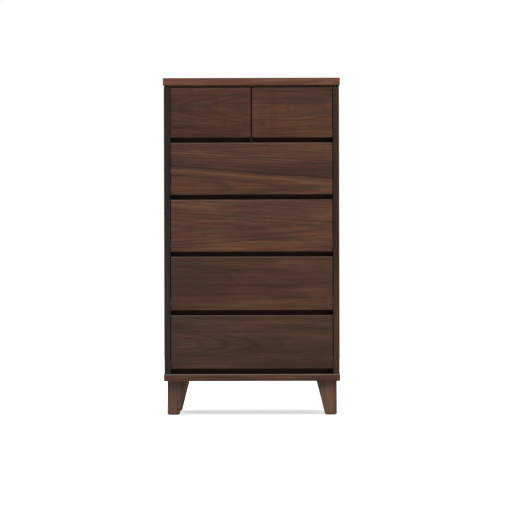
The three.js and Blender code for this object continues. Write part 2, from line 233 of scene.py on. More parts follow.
def walnut_leaf():
    """The figure of a walnut leaf: growth rings cut at a slope, fibres, pores and drifts of colour."""
    group = bpy.data.node_groups.new("walnut leaf", "ShaderNodeTree")
    for label, kind, value in (
        ("Grain", "NodeSocketVector", (0, 0, 0)),
        ("Leaf width", "NodeSocketFloat", 2.0),
        ("Slope", "NodeSocketFloat", 0.1),
        ("Pith", "NodeSocketFloat", 0.05),
        ("Ring width", "NodeSocketFloat", 0.009),
        ("Wander", "NodeSocketFloat", 0.03),
        ("Leaf", "NodeSocketFloat", 1.0),
        ("Line strength", "NodeSocketFloat", 0.6),
        ("Mottle", "NodeSocketFloat", 0.05),
        ("Dark line", "NodeSocketFloat", 9.0),
        ("Light band", "NodeSocketFloat", 9.0),
        ("Dark", "NodeSocketColor", (0.018, 0.0077, 0.0043, 1)),
        ("Body", "NodeSocketColor", (0.059, 0.0223, 0.0106, 1)),
        ("Light", "NodeSocketColor", (0.112, 0.045, 0.0195, 1)),
    ):
        socket = group.interface.new_socket(label, in_out="INPUT", socket_type=kind)
        socket.default_value = value
    for label, kind in (
        ("Colour", "NodeSocketColor"),
        ("Roughness", "NodeSocketFloat"),
        ("Height", "NodeSocketFloat"),
    ):
        group.interface.new_socket(label, in_out="OUTPUT", socket_type=kind)
    given = wire(group, "NodeGroupInput").outputs
    leaf = given["Leaf"]

    # A wide board is laid up from leaves of one flitch, side by side, each slipped a little along.
    laid = wire(group, "ShaderNodeSeparateXYZ", {0: given["Grain"]}).outputs
    count = maths(group, "ROUND", maths(group, "DIVIDE", laid[1], given["Leaf width"]))
    along = maths(group, "ADD", laid[0], maths(group, "MULTIPLY", count, 0.021))
    across = maths(group, "SUBTRACT", laid[1], maths(group, "MULTIPLY", count, given["Leaf width"]))
    grain = wire(group, "ShaderNodeCombineXYZ", {0: along, 1: across, 2: laid[2]}).outputs[0]

    # The rings are cones round the pith, and the leaf is a plane beside it, so they cross it as
    # nested tongues that wander slowly along the grain.
    bend = noise(group, grain, leaf, (1.6, 6, 6), 2)
    ripple = noise(group, grain, leaf, (7, 40, 40), 2)
    wander = maths(group, "MULTIPLY", maths(group, "SUBTRACT", bend, 0.5), given["Wander"])
    parts = wire(group, "ShaderNodeSeparateXYZ", {0: grain}).outputs
    across = maths(group, "ADD", parts[1], wander)
    depth = maths(group, "ADD", parts[2], given["Pith"])
    section = wire(group, "ShaderNodeCombineXYZ", {0: across, 1: depth})
    radius = wire(group, "ShaderNodeVectorMath", {0: section}, operation="LENGTH").outputs["Value"]
    radius = maths(group, "SUBTRACT", radius, maths(group, "MULTIPLY", parts[0], given["Slope"]))
    radius = maths(group, "ADD", radius, maths(group, "MULTIPLY", ripple, given["Ring width"]))
    rings = maths(group, "DIVIDE", radius, given["Ring width"])

    # Each ring darkens slowly to its late wood and starts pale again; some rings are much fainter.
    late = ramp(group, maths(group, "FRACT", rings), (0, 0.4), (0.1, 0), (0.55, 0.1), (0.85, 1), (1, 0.4))
    row = wire(group, "ShaderNodeCombineXYZ", {0: maths(group, "MULTIPLY", rings, 0.45)})
    faint = ramp(group, noise(group, row, leaf, 1.0, 1), (0.36, 0.1), (0.64, 1))
    lines = maths(group, "MULTIPLY", maths(group, "MULTIPLY", late, faint), given["Line strength"])

    fibre = noise(group, grain, leaf, (8, 420, 420), 4, 0.6)
    threads = noise(group, grain, leaf, (2.5, 120, 120), 3, 0.6)
    patches = noise(group, grain, leaf, (2.2, 13, 13), 3, 0.6)
    tints = noise(group, stretched(group, grain, (2.0, 34, 34)), leaf, 3.0, 2)
    flame = noise(group, grain, leaf, (34, 9, 9), 2)
    dashes = noise(group, grain, leaf, (70, 1500, 1500), 2)
    pores = ramp(group, dashes, (0.6, 0), (0.7, 1))

    dusk = ramp(group, patches, (0.34, 1), (0.56, 0))
    dawn = ramp(group, patches, (0.5, 0), (0.74, 1))
    colour = mixed(group, maths(group, "MULTIPLY", dawn, 0.5), given["Body"], given["Light"])
    colour = mixed(group, maths(group, "MULTIPLY", dusk, 0.5), colour, given["Dark"])
    band = maths(group, "ABSOLUTE", maths(group, "SUBTRACT", radius, given["Light band"]))
    band = ramp(group, maths(group, "MULTIPLY", band, 50), (0.1, 0.6), (0.6, 0))
    colour = mixed(group, band, colour, given["Light"])
    colour = mixed(group, lines, colour, given["Dark"])
    line = maths(group, "ABSOLUTE", maths(group, "SUBTRACT", radius, given["Dark line"]))
    line = ramp(group, maths(group, "MULTIPLY", line, 220), (0.1, 0.8), (0.8, 0))
    colour = mixed(group, line, colour, given["Dark"])
    redder = wire(group, "ShaderNodeHueSaturation", {"Hue": 0.493, "Saturation": 1.05, "Color": colour})
    greener = wire(group, "ShaderNodeHueSaturation", {"Hue": 0.51, "Saturation": 0.95, "Color": colour})
    colour = mixed(group, ramp(group, tints, (0.35, 0), (0.65, 1)), redder.outputs[0], greener.outputs[0])

    shades = ramp(group, fibre, (0.3, 0.84), (0.7, 1.16))
    shades = maths(group, "MULTIPLY", shades, ramp(group, threads, (0.3, 0.66), (0.7, 1.34)))
    flame = maths(group, "MULTIPLY", maths(group, "SUBTRACT", flame, 0.5), given["Mottle"])
    shades = maths(group, "MULTIPLY", shades, maths(group, "ADD", maths(group, "MULTIPLY", flame, 4), 1))
    grey = wire(group, "ShaderNodeCombineColor", {0: shades, 1: shades, 2: shades})
    colour = mixed(group, 1.0, colour, grey.outputs[0], "MULTIPLY")
    colour = mixed(group, maths(group, "MULTIPLY", pores, 0.45), colour, (0.012, 0.006, 0.004))

    dull = maths(group, "ADD", maths(group, "MULTIPLY", pores, 0.25), maths(group, "MULTIPLY", fibre, 0.16))
    dull = maths(group, "ADD", dull, 0.38)
    sunk = maths(group, "ADD", maths(group, "MULTIPLY", pores, -1), maths(group, "MULTIPLY", fibre, 0.5))
    wire(group, "NodeGroupOutput", {"Colour": colour, "Roughness": dull, "Height": sunk})
    return group


WALNUT_LEAF = walnut_leaf()
PORE_DEPTH = 0.00025
# Pale grey painted onto arrises that face up: a painted highlight standing in for the lacquer's gloss
# catching the light.
PAINTED_ARRIS_HIGHLIGHT = (0.13, 0.115, 0.1)
ALONG_X = (0, 2, 1)  # grain across the chest, on an upright face: along, across, through
ALONG_X_FLAT = (0, 1, 2)  # grain across the chest, on a level face
ALONG_Z = (2, 0, 1)  # upright grain, on a face seen from the front
ALONG_Z_SIDE = (2, 1, 0)  # upright grain, on a face seen from the side


def along_grain(tree, place, axes):
    """Places reordered as along, across and through the grain."""
    parts = wire(tree, "ShaderNodeSeparateXYZ", {0: place}).outputs
    return wire(tree, "ShaderNodeCombineXYZ", {i: parts[axis] for i, axis in enumerate(axes)}).outputs[0]


def coat(tree, shader, colour, roughness, relief=None, strength=0.3, depth=0.0002):
    """Wires a finish's colour, roughness and fine relief into its shader."""
    tree.links.new(colour, shader.inputs["Base Color"])
    tree.links.new(roughness, shader.inputs["Roughness"])
    if relief is not None:
        bump = wire(tree, "ShaderNodeBump", {"Height": relief, "Strength": strength, "Distance": depth})
        tree.links.new(bump.outputs[0], shader.inputs["Normal"])


def walnut(name, axes, heart, tilt=0.0, tone=(1, 1, 1), wear_and_painted_highlight=0.2, **figure):
    """Lacquered walnut. axes orders x, y and z as along, across and through the leaf; heart is a
    point on the middle line of its tongues, tilt turns that line in degrees, tone multiplies the
    leaf's colours as a stain and, on some pieces, as painted light or shade; the next argument
    sets how much painted highlight the upturned arrises get, and figure sets the leaf's other inputs."""
    material, tree, shader = new_material(name)
    turn = [0.0, 0.0, 0.0]
    turn[axes[2]] = math.radians(tilt)
    place = wire(
        tree,
        "ShaderNodeMapping",
        {"Vector": object_place(tree), "Location": heart, "Rotation": turn},
        vector_type="TEXTURE",
    )
    leaf = wire(tree, "ShaderNodeGroup", node_tree=WALNUT_LEAF)
    tree.links.new(along_grain(tree, place, axes), leaf.inputs["Grain"])
    for label, value in figure.items():
        leaf.inputs[label.replace("_", " ").capitalize()].default_value = value
    for shade in ("Dark", "Body", "Light"):
        socket = leaf.inputs[shade]
        socket.default_value = [c * t for c, t in zip(socket.default_value, (*tone, 1))]
    # Painted highlight: where the normal turns partly upwards, the colour is mixed towards pale grey, as if
    # the arris caught the light.
    upturned = wire(tree, "ShaderNodeSeparateXYZ", {0: wire(tree, "ShaderNodeTexCoord").outputs["Normal"]})
    arris = ramp(tree, upturned.outputs[2], (0.12, 0), (0.4, wear_and_painted_highlight), (0.93, wear_and_painted_highlight), (0.98, 0))
    colour = mixed(tree, arris, leaf.outputs["Colour"], PAINTED_ARRIS_HIGHLIGHT)
    coat(tree, shader, colour, leaf.outputs["Roughness"], leaf.outputs["Height"], 0.6, PORE_DEPTH)
    shader.inputs["Specular IOR Level"].default_value = 0.2
    return material


def loft(name, outlines):
    """A closed mesh through outlines of equally many points."""
    shape = bmesh.new()
    rings = [[shape.verts.new(point) for point in outline] for outline in outlines]
    shape.faces.new(rings[0])
    shape.faces.new(rings[-1])
    for lower, upper in zip(rings, rings[1:]):
        for i in range(len(lower)):
            j = (i + 1) % len(lower)
            shape.faces.new((lower[i], lower[j], upper[j], upper[i]))
    return as_object(name, shape)


def prism(name, outline, axis, start, end):
    """A closed mesh: an outline in the other two axes, in x, y, z order, run along axis."""
    ends = [[(*corner[:axis], stop, *corner[axis:]) for corner in outline] for stop in (start, end)]
    return loft(name, ends)


def arc(middle, radius, start, end, steps=5):
    """Points of a round arris, from one angle to another in degrees."""
    angles = [math.radians(start + (end - start) * step / steps) for step in range(steps + 1)]
    return [(middle[0] + radius * math.cos(a), middle[1] + radius * math.sin(a)) for a in angles]


def ease(thing, radius, segments=2):
    """Rounds every sharp arris a little and keeps the flats flat."""
    for face in thing.data.polygons:
        face.use_smooth = True
    rounding = thing.modifiers.new("eased arrises", "BEVEL")
    rounding.width = radius
    rounding.segments = segments
    rounding.limit_method = "ANGLE"
    rounding.angle_limit = math.radians(25)
    rounding.harden_normals = True


def fit(thing, material, body, slot, *nodes):
    """Gives a piece its finish, its body and the frame nodes that it stands for."""
    thing.data.materials.clear()
    thing.data.materials.append(material)
    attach(thing, body)
    if nodes:
        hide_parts(*nodes)


BASE_ARRIS = 0.004
EASED = 0.0008  # sanded arrises of veneered boards
low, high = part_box("base_board")
base_outline = [(low.y, low.z), (high.y, low.z), (high.y, high.z)]
base_outline += arc((low.y + BASE_ARRIS, high.z - BASE_ARRIS), BASE_ARRIS, 90, 180)
base = prism("base", base_outline, 0, low.x, high.x)
ease(base, EASED)
base_walnut = walnut(
    "walnut of the base",
    ALONG_X,
    (0.3, low.y, 0.24),
    tone=(0.94, 0.89, 0.93),
    # a strong painted highlight along the base's rounded front arris
    wear_and_painted_highlight=0.6,
    slope=0.03,
    leaf=21.9,
    line_strength=0.5,
)
fit(base, base_walnut, "cabinet", "walnut_veneer", "base_board")

# ------------------------------------------------------------------ legs
# Solid walnut, upright outside and tapered on both inner faces, with eased arrises. Each is drawn
# up against the base board by two bolts.
# The right leg's walnut is toned lighter than the left's: painted light, standing in for the key light
# coming from the right.
LEG_TONES_WITH_PAINTED_LIGHT = {"left": (1.2, 1.6, 2.0), "right": (1.68, 2.15, 2.8)}
LEG_ARRIS = 0.0022
GLIDE_MARGIN = 0.004  # how far a glide stays inside the foot
HANDS = (("left", -1), ("right", 1))  # with the sign of their X
ENDS = (("front", -1), ("back", 1))  # with the sign of their Y
legs = [(f"{end}_{hand}", hand, side, rear) for end, rear in ENDS for hand, side in HANDS]


def out_and_in(low, high, side):
    """The outer and the inner x of a piece on one side of the chest."""
    return (low.x, high.x) if side < 0 else (high.x, low.x)


for name, hand, side, rear in legs:
    low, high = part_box(f"{name}_leg")
    glide_low, glide_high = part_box(f"{name}_glide")
    outer_x, inner_x = out_and_in(low, high, side)
    outer_y, inner_y = (low.y, high.y) if rear < 0 else (high.y, low.y)
    foot_x = out_and_in(glide_low, glide_high, side)[1] - side * GLIDE_MARGIN
    foot_y = (glide_high.y if rear < 0 else glide_low.y) - rear * GLIDE_MARGIN
    squares = [
        [(outer_x, outer_y, z), (across, outer_y, z), (across, back, z), (outer_x, back, z)]
        for across, back, z in ((foot_x, foot_y, low.z), (inner_x, inner_y, high.z))
    ]
    leg = loft(f"{name}_post", squares)
    ease(leg, LEG_ARRIS, 3)
    leg_walnut = walnut(
        f"walnut of the {name.replace('_', ' ')} leg",
        ALONG_Z,
        (outer_x + side * 0.03, outer_y, 0.4),
        tone=LEG_TONES_WITH_PAINTED_LIGHT[hand],
        slope=0.05,
        wander=0.02,
        leaf=31 + 2.3 * side + 5.1 * rear,
        ring_width=0.007,
        line_strength=0.5,
    )
    fit(leg, leg_walnut, "cabinet", "walnut_leg", f"{name}_leg")

# ------------------------------------------------------------------ glides
# Pads of dark pressed felt, nailed under the feet a little in from their edges, so that the chest
# can be pushed over a floor.


def finish_node(name, material):
    """Gives a frame piece that keeps its own shape its finish."""
    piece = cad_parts[name]
    piece.data.materials.clear()
    piece.data.materials.append(material)


felt, tree, shader = new_material("dark felt")
hairs = noise(tree, object_place(tree), 3.0, 900, 4, 0.7)
tree.links.new(mixed(tree, hairs, (0.012, 0.01, 0.009), (0.07, 0.058, 0.048)), shader.inputs["Base Color"])
bump = wire(tree, "ShaderNodeBump", {"Height": hairs, "Strength": 0.8, "Distance": 0.0006})
tree.links.new(bump.outputs[0], shader.inputs["Normal"])
shader.inputs["Roughness"].default_value = 0.95
shader.inputs["Sheen Weight"].default_value = 0.3
for name, *_ in legs:
    finish_node(f"{name}_glide", felt)

# ------------------------------------------------------------------ side panels
# 24 mm boards veneered with two upright leaves, standing on the base board. A solid walnut lipping
# with a rounded outer arris covers the front edge.
LIPPING = 0.004
LIPPING_ARRIS = 0.0018
LIPPING_JOINT = 0.0004  # arris of the fine line between panel and lipping
LIPPING_TONES = {"left": (0.31, 0.44, 0.67), "right": (0.48, 0.53, 0.54)}
for hand, side in HANDS:
    low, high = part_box(f"{hand}_side_panel")
    outer_x, inner_x = out_and_in(low, high, side)
    joint_y = low.y + LIPPING
    panel_outline = [(outer_x, joint_y), (inner_x, joint_y), (inner_x, high.y), (outer_x, high.y)]
    panel = prism(f"{hand}_side", panel_outline, 2, low.z, high.z)
    ease(panel, LIPPING_JOINT)
    panel_walnut = walnut(
        f"walnut of the {hand} side",
        ALONG_Z_SIDE,
        (outer_x - side * 0.01, 0.11, 0.3),
        tone=(1.1, 1.12, 1.15),
        leaf_width=0.216,
        slope=0.05,
        wander=0.04,
        leaf=11.3 + side,
        line_strength=0.6,
    )
    fit(panel, panel_walnut, "cabinet", "walnut_veneer", f"{hand}_side_panel")

    rounding = arc(
        (outer_x - side * LIPPING_ARRIS, low.y + LIPPING_ARRIS),
        LIPPING_ARRIS,
        180 if side < 0 else 0,
        270 if side < 0 else -90,
        3,
    )
    strip_outline = [(outer_x, joint_y), *rounding, (inner_x, low.y), (inner_x, joint_y)]
    strip = prism(f"{hand}_side_lipping", strip_outline, 2, low.z, high.z)
    ease(strip, LIPPING_JOINT)
    strip_walnut = walnut(
        f"walnut of the {hand} lipping",
        ALONG_Z,
        (side * 0.4, low.y, 0.5),
        tone=LIPPING_TONES[hand],
        slope=0.01,
        leaf=15.7 + side,
        ring_width=0.005,
    )
    fit(strip, strip_walnut, "cabinet", "walnut_veneer", f"{hand}_side_panel")

# ------------------------------------------------------------------ back panel
# Brown printed hardboard, let in between the side panels a little forward of their back edges. It
# stiffens the cabinet, and pins hold it to the rear rail and the shelf.
hardboard, tree, shader = new_material("brown hardboard")
mottle = noise(tree, object_place(tree), 4.0, (7, 7, 3), 4, 0.6)
printed = noise(tree, object_place(tree), 6.0, (160, 160, 5), 3)
amount = maths(tree, "MULTIPLY", maths(tree, "ADD", mottle, printed), 0.5)
amount = ramp(tree, amount, (0.38, 0), (0.62, 1))
brown = mixed(tree, amount, (0.03, 0.017, 0.011), (0.085, 0.05, 0.032))
pimples = noise(tree, object_place(tree), 8.0, 1400, 2)
coat(tree, shader, brown, ramp(tree, mottle, (0.3, 0.5), (0.7, 0.65)), pimples)
finish_node("back_panel", hardboard)

# ------------------------------------------------------------------ rails and black spacer
# Softwood stained black: the rails close the finger gaps from behind, and the spacer is set back
# under the top so that the top seems to float.
black_stain, tree, shader = new_material("black stain")
soaked = noise(tree, object_place(tree), 2.0, 14, 3)
fibre = noise(tree, object_place(tree), 5.0, (20, 500, 500), 3)
amount = maths(tree, "MULTIPLY", maths(tree, "ADD", soaked, fibre), 0.5)
stain = mixed(tree, amount, (0.02, 0.0105, 0.0075), (0.046, 0.024, 0.0165))
coat(tree, shader, stain, ramp(tree, fibre, (0.2, 0.6), (0.8, 0.8)), fibre, 0.4)
shader.inputs["Specular IOR Level"].default_value = 0.25
finish_node("top_spacer", black_stain)
for drawer in ("top_drawers", "second_drawer", "third_drawer", "fourth_drawer", "bottom_drawer"):
    finish_node(f"rail_below_{drawer}", black_stain)

# ------------------------------------------------------------------ shelf, divider, guides, stops
# A plywood shelf carries the two small drawers, a veneered divider keeps them apart, and pale
# paulownia guides and stop blocks steer them.


def pale_wood(name, axes, dark, light, seed):
    """Sanded pale wood: soft straight grain with fine fibres, along, across and through."""
    material, tree, shader = new_material(name)
    grain = along_grain(tree, object_place(tree), axes)
    bands = noise(tree, grain, seed, (1.1, 55, 55), 3)
    rings = noise(tree, grain, seed, (2.5, 210, 210), 2)
    fibre = noise(tree, grain, seed, (14, 900, 900), 3, 0.6)
    drift = noise(tree, grain, seed, (1.5, 5, 5), 2)
    amount = maths(tree, "ADD", maths(tree, "MULTIPLY", bands, 0.45), maths(tree, "MULTIPLY", rings, 0.3))
    amount = maths(tree, "ADD", amount, maths(tree, "MULTIPLY", fibre, 0.15))
    amount = maths(tree, "ADD", amount, maths(tree, "MULTIPLY", drift, 0.2))
    amount = ramp(tree, amount, (0.42, 0), (0.68, 1))
    roughness = ramp(tree, fibre, (0.2, 0.5), (0.8, 0.68))
    coat(tree, shader, mixed(tree, amount, dark, light), roughness, fibre, 0.35)
    shader.inputs["Specular IOR Level"].default_value = 0.3
    return material


PAULOWNIA = ((0.38, 0.255, 0.135), (0.62, 0.46, 0.28))
ALONG_Y = (1, 2, 0)  # grain front to back, on an upright face
paulownia_across = pale_wood("paulownia, grain across", ALONG_X, *PAULOWNIA, 8.0)
paulownia_deep = pale_wood("paulownia, grain front to back", ALONG_Y, *PAULOWNIA, 9.0)
plywood = pale_wood("pale plywood", ALONG_X_FLAT, (0.43, 0.31, 0.175), (0.6, 0.47, 0.3), 7.0)
finish_node("dust_shelf", plywood)
finish_node("rear_top_rail", paulownia_across)
for hand, _ in HANDS:
    finish_node(f"{hand}_drawer_guide", paulownia_deep)
    finish_node(f"{hand}_drawer_stop", paulownia_across)
low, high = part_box("centre_divider")
# The divider's walnut is toned darker than the fronts: painted shade, for its nose stands back in the dark
# finger gap.
divider_walnut = walnut(
    "walnut of the divider", ALONG_Z, (0.1, low.y, 1.2), tone=(0.5, 0.6, 0.8), leaf=44.0, slope=0.02
)
finish_node("centre_divider", divider_walnut)

# ------------------------------------------------------------------ top board
# A board some 30 mm thick, faced with three leaves of walnut, its edges veneered too. The lower
# arris is chamfered at the front and both ends.
TOP_CHAMFER = 0.0025
TOP_ARRIS = 0.001
low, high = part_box("top_board")
squares = []
for margin, z in ((TOP_CHAMFER, low.z), (0, low.z + TOP_CHAMFER), (0, high.z)):
    front = low.y + margin
    left = low.x + margin
    right = high.x - margin
    squares.append([(left, front, z), (right, front, z), (right, high.y, z), (left, high.y, z)])
top = loft("top", squares)
ease(top, TOP_ARRIS)
top_walnut = walnut(
    "walnut of the top",
    ALONG_X_FLAT,
    (-0.1, 0.0, high.z),
    tone=(2.1, 2.05, 2.35),
    leaf_width=0.147,
    slope=0.05,
    wander=0.05,
    leaf=3.7,
    line_strength=0.5,
)
fit(top, top_walnut, "cabinet", "walnut_top", "top_board")

# ------------------------------------------------------------------ drawer fronts
# 20 mm boards faced with one leaf of walnut each, grain across the chest. The upper front arris is
# rounded, the others eased, and the lower edge is bevelled behind for the fingers.
FRONT_ARRIS = 0.0035
FINGER_BEVEL = 0.008
FRONTS = {
    "top_left_drawer": dict(
        heart=(-0.2, 1.216), slope=0.1, leaf=51.2, mottle=0.12, ring_width=0.011, tone=(0.86, 0.78, 0.68)
    ),
    "top_right_drawer": dict(
        heart=(-0.05, 1.23), slope=-0.06, leaf=57.9, mottle=0.12, ring_width=0.011, tone=(1.07, 0.98, 0.98)
    ),
    "second_drawer": dict(
        heart=(0.0, 0.9), slope=-0.065, pith=0.04, leaf=63.4, dark_line=0.0789, light_band=0.066,
        ring_width=0.0105, wander=0.012, line_strength=0.95, tone=(1.0, 0.98, 1.0),
    ),
    "third_drawer": dict(
        heart=(-0.206, 0.737), slope=-0.05, pith=0.03, leaf=64.1, ring_width=0.0122, wander=0.015,
        line_strength=1.0, tone=(1.3, 1.27, 1.3),
    ),
    "fourth_drawer": dict(
        heart=(0.04, 0.539), slope=-0.1, pith=0.062, leaf=71.6, ring_width=0.011, tone=(0.82, 0.8, 0.8)
    ),
    "bottom_drawer": dict(
        heart=(-0.16, 0.283), slope=-0.1, pith=0.05, leaf=78.8, ring_width=0.0105, tone=(0.7, 0.75, 0.79)
    ),
}
for drawer, figure in FRONTS.items():
    low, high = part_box(f"{drawer}_front")
    outline = [(low.y, low.z), (high.y - FINGER_BEVEL, low.z), (high.y, low.z + FINGER_BEVEL)]
    outline.append((high.y, high.z))
    outline += arc((low.y + FRONT_ARRIS, high.z - FRONT_ARRIS), FRONT_ARRIS, 90, 180)
    front = prism(f"{drawer}_face", outline, 0, low.x, high.x)
    ease(front, EASED)
    heart_x, heart_z = figure.pop("heart")
    front_walnut = walnut(
        f"walnut of the {drawer.replace('_', ' ')}", ALONG_X, (heart_x, low.y, heart_z), **figure
    )
    fit(front, front_walnut, drawer, "walnut_veneer", f"{drawer}_front")

# ------------------------------------------------------------------ drawer boxes
# Sanded paulownia boards, finger-jointed and glued at the corners and grooved for a plywood
# bottom. A small box's back wall stands higher, to meet its stop.
BOX_WALL = 0.012
BOX_ARRIS = 0.0004
GROOVE_DEPTH = 0.006
RIM_DROP = 0.025  # from the front's upper edge to the box's rim
FINGERS = 9  # the side walls have the odd ones


def sawn(name, planes, keep):
    """A board sawn square: of the cells between its cut planes, those whose middle keep() keeps."""
    spans = [list(zip(cuts, cuts[1:])) for cuts in planes]
    cells = {
        (i, j, k)
        for i, (left, right) in enumerate(spans[0])
        for j, (front, back) in enumerate(spans[1])
        for k, (bottom, top) in enumerate(spans[2])
        if keep((left + right) / 2, (front + back) / 2, (bottom + top) / 2)
    }
    shape = bmesh.new()
    for cell in sorted(cells):
        for axis in range(3):
            u, v = [i for i in range(3) if i != axis]
            for step in (0, 1):
                beside = list(cell)
                beside[axis] += 2 * step - 1
                if tuple(beside) in cells:
                    continue
                square = []
                for across, up in ((0, 0), (1, 0), (1, 1), (0, 1)):
                    corner = [0, 0, 0]
                    corner[axis] = planes[axis][cell[axis] + step]
                    corner[u] = planes[u][cell[u] + across]
                    corner[v] = planes[v][cell[v] + up]
                    square.append(shape.verts.new(corner))
                shape.faces.new(square)
    bmesh.ops.remove_doubles(shape, verts=shape.verts, dist=1e-6)
    return as_object(name, shape)


def wall_at(x, y, z, low, high, rim, groove_low, groove_high):
    """Which wall of a box the wood at a point belongs to, or None in its groove and inside it."""
    depth_x = min(x - low.x, high.x - x)
    depth_y = min(y - low.y, high.y - y)
    side = "left" if x < (low.x + high.x) / 2 else "right"
    end = "front" if y < (low.y + high.y) / 2 else "back"
    if groove_low < z < groove_high and min(depth_x, depth_y) > GROOVE_DEPTH:
        return None
    if z > rim:
        return end if depth_y < BOX_WALL and end == "back" else None
    if depth_x < BOX_WALL and depth_y < BOX_WALL:
        finger = int((z - low.z) / (rim - low.z) * FINGERS)
        return side if finger % 2 == 0 else end
    if depth_x < BOX_WALL:
        return side
    return end if depth_y < BOX_WALL else None


for drawer in FRONTS:
    low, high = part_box(f"{drawer}_box")
    groove = [corner.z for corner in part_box(f"{drawer}_bottom")]
    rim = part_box(f"{drawer}_front")[1].z - RIM_DROP
    levels = [low.z + (rim - low.z) * i / FINGERS for i in range(FINGERS + 1)]
    if drawer.startswith("top"):
        levels.append(high.z)
    cuts = (0, GROOVE_DEPTH, BOX_WALL)
    planes = [
        [low.x + cut for cut in cuts] + [high.x - cut for cut in reversed(cuts)],
        [low.y + cut for cut in cuts] + [high.y - cut for cut in reversed(cuts)],
        sorted(levels + groove),
    ]
    for wall, wood in (
        ("left", paulownia_deep),
        ("right", paulownia_deep),
        ("front", paulownia_across),
        ("back", paulownia_across),
    ):
        piece = sawn(
            f"{drawer}_{wall}_wall",
            planes,
            lambda x, y, z: wall_at(x, y, z, low, high, rim, *groove) == wall,
        )
        ease(piece, BOX_ARRIS, 1)
        fit(piece, wood, drawer, "drawer_wood", f"{drawer}_box")
    finish_node(f"{drawer}_bottom", plywood)

# ------------------------------------------------------------------ roller slides
# Powder-coated sheet steel: a channel screwed to each side panel, and an angle under each lower
# edge of the box whose flange reaches into the channel.
SLIDE_STEEL = 0.0015
STEEL_EDGE = 0.0005
RUNNER_FLANGE = 0.0075
powder, tree, shader = new_material("grey powder coat")
peel = noise(tree, object_place(tree), 12.0, 700, 2)
wear_and_painted_highlight = noise(tree, object_place(tree), 13.0, (30, 6, 160), 3)
amount = maths(tree, "MULTIPLY", maths(tree, "ADD", peel, wear_and_painted_highlight), 0.5)
grey = mixed(tree, amount, (0.3, 0.29, 0.275), (0.44, 0.43, 0.41))
coat(tree, shader, grey, ramp(tree, wear_and_painted_highlight, (0.3, 0.34), (0.7, 0.5)), peel, depth=0.0001)
WIDE_DRAWERS = [drawer for drawer in FRONTS if not drawer.startswith("top")]
slides = [(drawer, hand, side) for drawer in WIDE_DRAWERS for hand, side in HANDS]
for drawer, hand, side in slides:
    low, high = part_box(f"{drawer}_{hand}_track")
    wall, lip = out_and_in(low, high, side)
    web = wall - side * SLIDE_STEEL
    floor_z = low.z + SLIDE_STEEL
    roof_z = high.z - SLIDE_STEEL
    channel = [(wall, low.z), (wall, high.z), (lip, high.z), (lip, roof_z)]
    channel += [(web, roof_z), (web, floor_z), (lip, floor_z), (lip, low.z)]
    track = prism(f"{drawer}_{hand}_channel", channel, 1, low.y, high.y)
    ease(track, STEEL_EDGE)
    fit(track, powder, "cabinet", "slide_steel", f"{drawer}_{hand}_track")

    low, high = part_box(f"{drawer}_{hand}_runner")
    tip, foot = out_and_in(low, high, side)
    outer = tip - side * RUNNER_FLANGE
    inner = outer - side * SLIDE_STEEL
    angle = [(foot, low.z), (outer, low.z), (outer, high.z - SLIDE_STEEL), (tip, high.z - SLIDE_STEEL)]
    angle += [(tip, high.z), (inner, high.z), (inner, low.z + SLIDE_STEEL), (foot, low.z + SLIDE_STEEL)]
    runner = prism(f"{drawer}_{hand}_angle", angle, 1, low.y, high.y)
    ease(runner, STEEL_EDGE)
    fit(runner, powder, drawer, "slide_steel", f"{drawer}_{hand}_runner")

# ------------------------------------------------------------------ slide rollers
# Nylon wheels on steel pins. The cabinet's wheel sits at the front of its channel and carries the
# flange; the drawer's wheel sits at the back of its angle and runs on the channel's floor.


def node_tree(name, sizes):
    """A Geometry Nodes tree with points and named sizes in and a mesh out, and the sockets going in."""
    group = bpy.data.node_groups.new(name, "GeometryNodeTree")
    group.interface.new_socket("Points", in_out="INPUT", socket_type="NodeSocketGeometry")
    for label, value in sizes.items():
        kind = "NodeSocketVector" if isinstance(value, tuple) else "NodeSocketFloat"
        group.interface.new_socket(label, in_out="INPUT", socket_type=kind).default_value = value
    group.interface.new_socket("Finish", in_out="INPUT", socket_type="NodeSocketMaterial")
    group.interface.new_socket("Mesh", in_out="OUTPUT", socket_type="NodeSocketGeometry")
    return group, wire(group, "NodeGroupInput").outputs


def set_out(group, given, fitting, turn):
    """Ends a tree: one fitting on each point, turned, realized and given its finish."""
    feeds = {"Points": given["Points"], "Instance": fitting, "Rotation": turn}
    placed = wire(group, "GeometryNodeInstanceOnPoints", feeds)
    plain = wire(group, "GeometryNodeRealizeInstances", {0: placed})
    finished = wire(group, "GeometryNodeSetMaterial", {"Geometry": plain, "Material": given["Finish"]})
    wire(group, "NodeGroupOutput", {0: finished})


def grow(name, group, points, finish, body, slot, **sizes):
    """Runs a tree on points and keeps the result as one plain piece on one body."""
    seedbed = bpy.data.meshes.new(f"{name} points")
    seedbed.from_pydata(points, [], [])
    planted = bpy.data.objects.new(f"{name} points", seedbed)
    bpy.context.scene.collection.objects.link(planted)
    growth = planted.modifiers.new("fittings", "NODES")
    growth.node_group = group
    for socket in group.interface.items_tree:
        if socket.in_out == "INPUT" and socket.name in sizes:
            growth[socket.identifier] = sizes[socket.name]
        elif socket.name == "Finish":
            growth[socket.identifier] = finish
    evaluated = planted.evaluated_get(bpy.context.evaluated_depsgraph_get())
    mesh = bpy.data.meshes.new_from_object(evaluated)
    planted.modifiers.remove(growth)
    bpy.data.objects.remove(planted)
    piece = bpy.data.objects.new(name, mesh)
    bpy.context.scene.collection.objects.link(piece)
    fit(piece, finish, body, slot)


